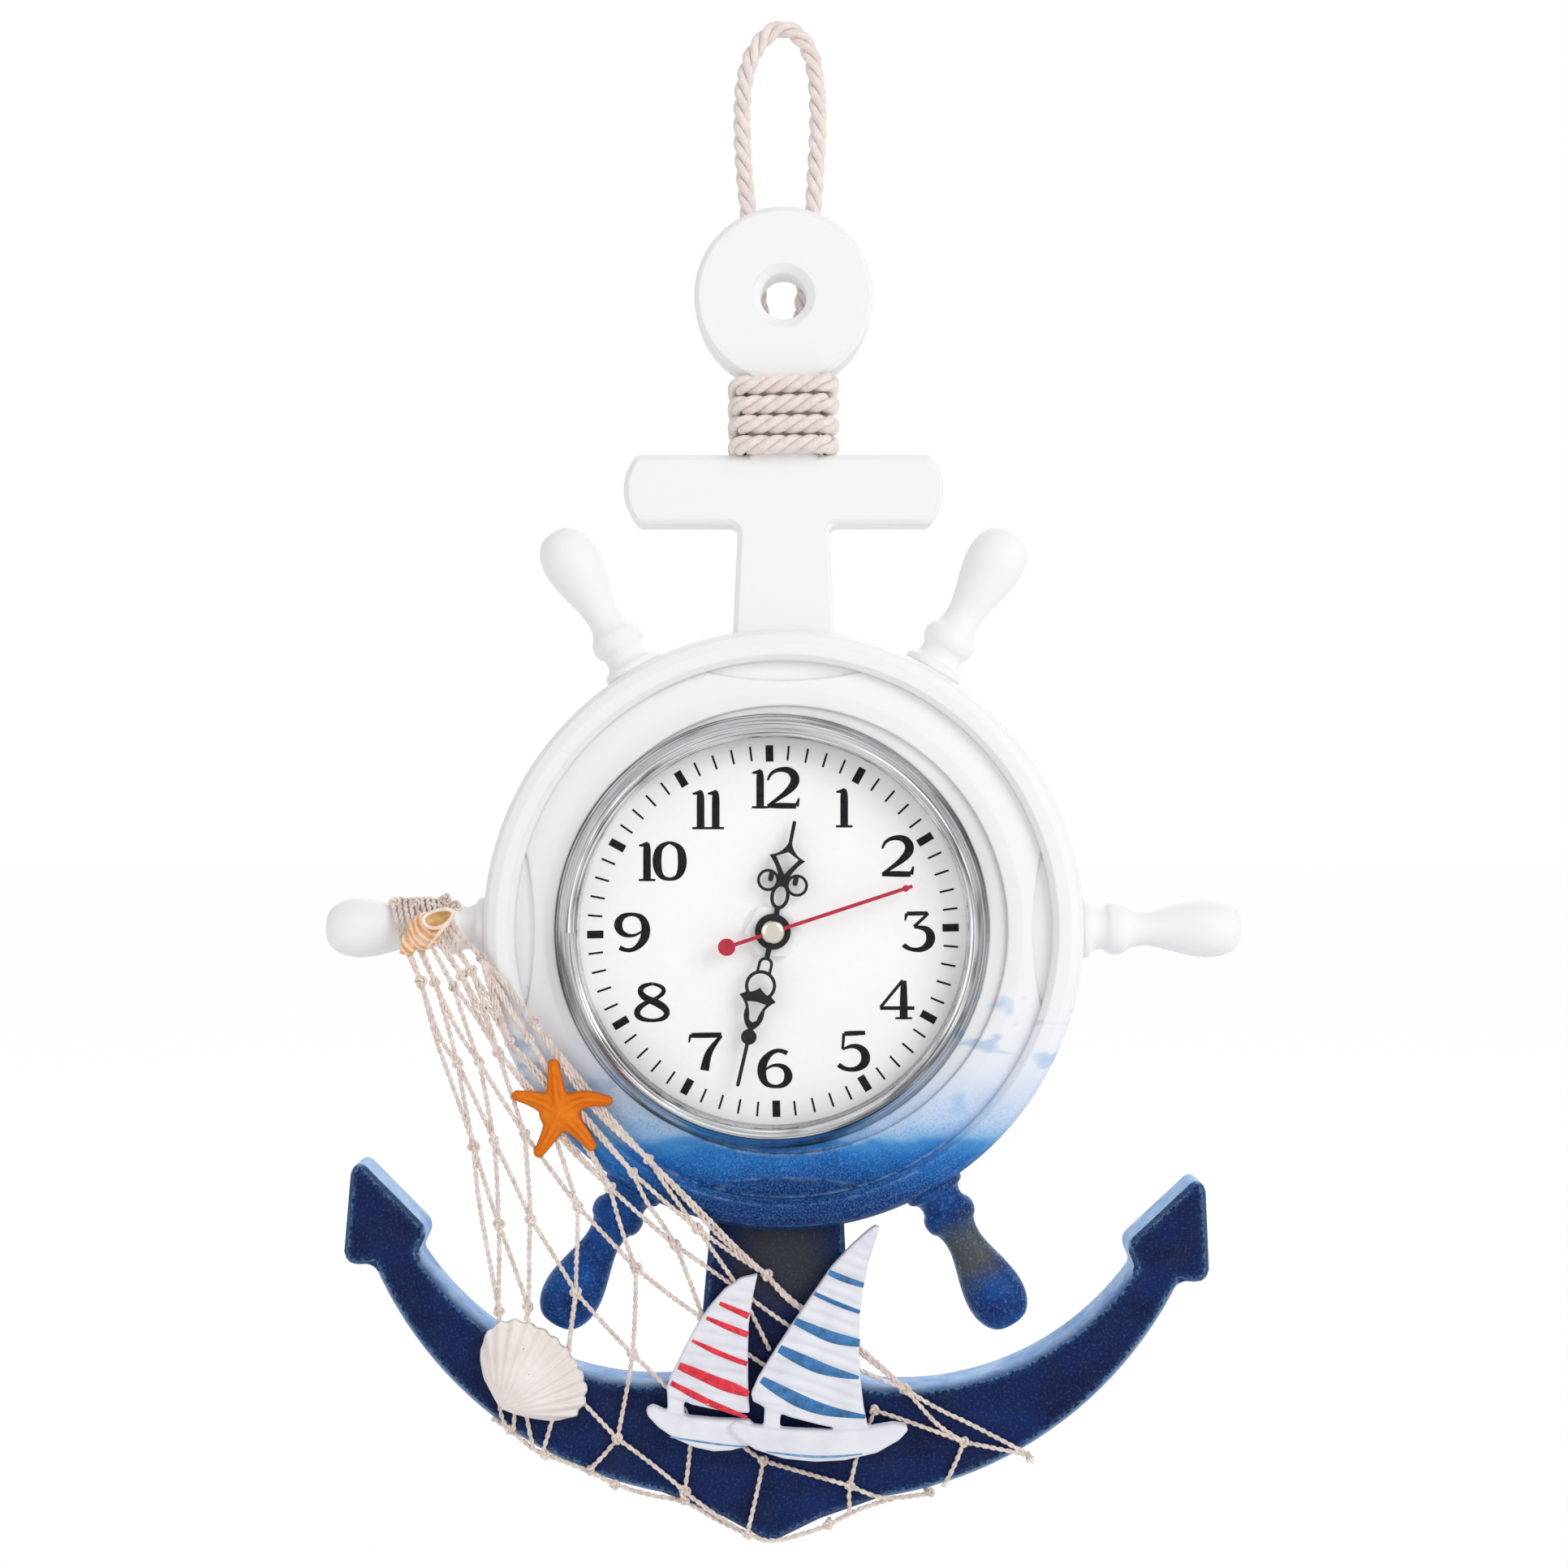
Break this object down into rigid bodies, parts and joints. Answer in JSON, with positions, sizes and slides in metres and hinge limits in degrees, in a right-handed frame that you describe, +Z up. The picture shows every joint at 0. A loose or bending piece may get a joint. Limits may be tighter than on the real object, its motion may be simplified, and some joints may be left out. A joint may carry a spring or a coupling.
{
  "type": "wall clock",
  "caption": "Nautical wall clock: quartz dial in a ship's wheel on an anchor, with a hanging rope, twine net, shells and sailboats.",
  "frame": {"origin": "on the ship's wheel's axis, in the plane of the anchor boards' backs, which lies against the wall", "axes": "+Z up, the dial faces -Y, +X to the right as seen from the front"},
  "size_m": [0.2088, 0.034, 0.3517],
  "materials": {
    "white_paint": "satin paint on turned wood, worn at the edges",
    "faded_paint": "satin paint on board, white above",
    "navy_paint": "satin paint, speckled",
    "handle_white": "satin paint on turned wood",
    "handle_blue": "satin paint on turned wood, worn",
    "cotton_rope": "laid cotton",
    "net_twine": "knotted cotton twine",
    "starfish_orange": "dried starfish, granular",
    "scallop_cream": "ribbed shell",
    "conch_stripe": "glossy shell",
    "boat_white": "painted casting",
    "chrome": "polished",
    "lens_glass": "clear",
    "dial_white": "printed card",
    "hand_black": "black",
    "hand_red": "red",
    "cap_silver": "polished",
    "case_black": "moulded",
    "case_clear_white": "moulded",
    "band_rubber": "matt",
    "steel": "plated",
    "brass": "turned",
    "battery_shell": "plain printed jacket without text",
    "circuit_green": "lacquered board",
    "stator_iron": "stamped",
    "coil_copper": "enamelled wire",
    "gear_plastic": "moulded",
    "rotor_magnet": "moulded pinion on a magnet"
  },
  "bodies": {
    "root": {"wheel_ring": "white_paint", "anchor_top": "faded_paint", "anchor_bottom": "navy_paint", "handle_right": "handle_white", "handle_upper_right": "handle_white", "handle_upper_left": "handle_white", "handle_left": "handle_white", "handle_lower_left": "handle_blue", "handle_lower_right": "handle_blue", "lap_screws": "steel", "rope_wrap": "cotton_rope", "hanging_rope": "cotton_rope", "net": "net_twine", "starfish": "starfish_orange", "scallop_shell": "scallop_cream", "conch_shell": "conch_stripe", "red_sailboat": "boat_white", "blue_sailboat": "boat_white", "bezel": "chrome", "lens": "lens_glass", "insert_case": "case_black", "gasket_band": "band_rubber", "dial": "dial_white", "movement_washer": "brass", "movement_nut": "brass", "movement_front_case": "case_clear_white", "movement_rear_case": "case_black", "contact_plus": "steel", "contact_minus": "steel", "circuit_board": "circuit_green", "stator": "stator_iron", "coil_bobbin": "stator_iron", "coil_winding": "coil_copper"},
    "hour": {"hour_hand": "hand_black", "hour_wheel": "gear_plastic"},
    "minute": {"minute_hand": "hand_black", "centre_wheel": "gear_plastic"},
    "second": {"second_hand": "hand_red", "hand_cap": "cap_silver", "second_wheel": "gear_plastic"},
    "third": {"third_wheel": "gear_plastic"},
    "intermediate": {"intermediate_wheel": "gear_plastic"},
    "stepping_rotor": {"rotor": "rotor_magnet"},
    "motion_work": {"minute_wheel": "gear_plastic"},
    "time_setter": {"setting_knob": "gear_plastic"},
    "power_cell": {"battery": "battery_shell"}
  },
  "joints": [
    {"name": "second_turn", "type": "hinge", "parent": "root", "child": "second", "pos_m": [-0.0024, -0.008, -0.0003], "axis": [0, 1, 0], "continuous": true},
    {"name": "minute_turn", "type": "hinge", "parent": "root", "child": "minute", "pos_m": [-0.0024, -0.012, -0.0003], "axis": [0, 1, 0], "continuous": true},
    {"name": "hour_turn", "type": "hinge", "parent": "root", "child": "hour", "pos_m": [-0.0024, -0.014, -0.0003], "axis": [0, 1, 0], "continuous": true},
    {"name": "third_turn", "type": "hinge", "parent": "root", "child": "third", "pos_m": [-0.01212, -0.0095, -0.0003], "axis": [0, 1, 0], "continuous": true},
    {"name": "intermediate_turn", "type": "hinge", "parent": "root", "child": "intermediate", "pos_m": [-0.00567, -0.006, 0.00868], "axis": [0, 1, 0], "continuous": true},
    {"name": "stepping_rotor_turn", "type": "hinge", "parent": "root", "child": "stepping_rotor", "pos_m": [-0.00006, -0.005, 0.01192], "axis": [0, 1, 0], "continuous": true},
    {"name": "motion_work_turn", "type": "hinge", "parent": "root", "child": "motion_work", "pos_m": [0.0072, -0.0125, -0.0003], "axis": [0, 1, 0], "continuous": true},
    {"name": "time_setter_turn", "type": "hinge", "parent": "root", "child": "time_setter", "pos_m": [0.01337, -0.007, 0.00705], "axis": [0, 1, 0], "continuous": true},
    {"name": "battery_slide", "type": "slide", "parent": "root", "child": "power_cell", "axis": [0, 1, 0], "range_m": [0, 0.016]}
  ],
  "couplings": [
    {"joint": "minute_turn", "follows": "second_turn", "ratio": 0.016667},
    {"joint": "hour_turn", "follows": "second_turn", "ratio": 0.0013889},
    {"joint": "third_turn", "follows": "second_turn", "ratio": -0.13333},
    {"joint": "intermediate_turn", "follows": "second_turn", "ratio": -6},
    {"joint": "stepping_rotor_turn", "follows": "second_turn", "ratio": 30},
    {"joint": "motion_work_turn", "follows": "second_turn", "ratio": -0.0055556},
    {"joint": "time_setter_turn", "follows": "second_turn", "ratio": 0.016667}
  ]
}
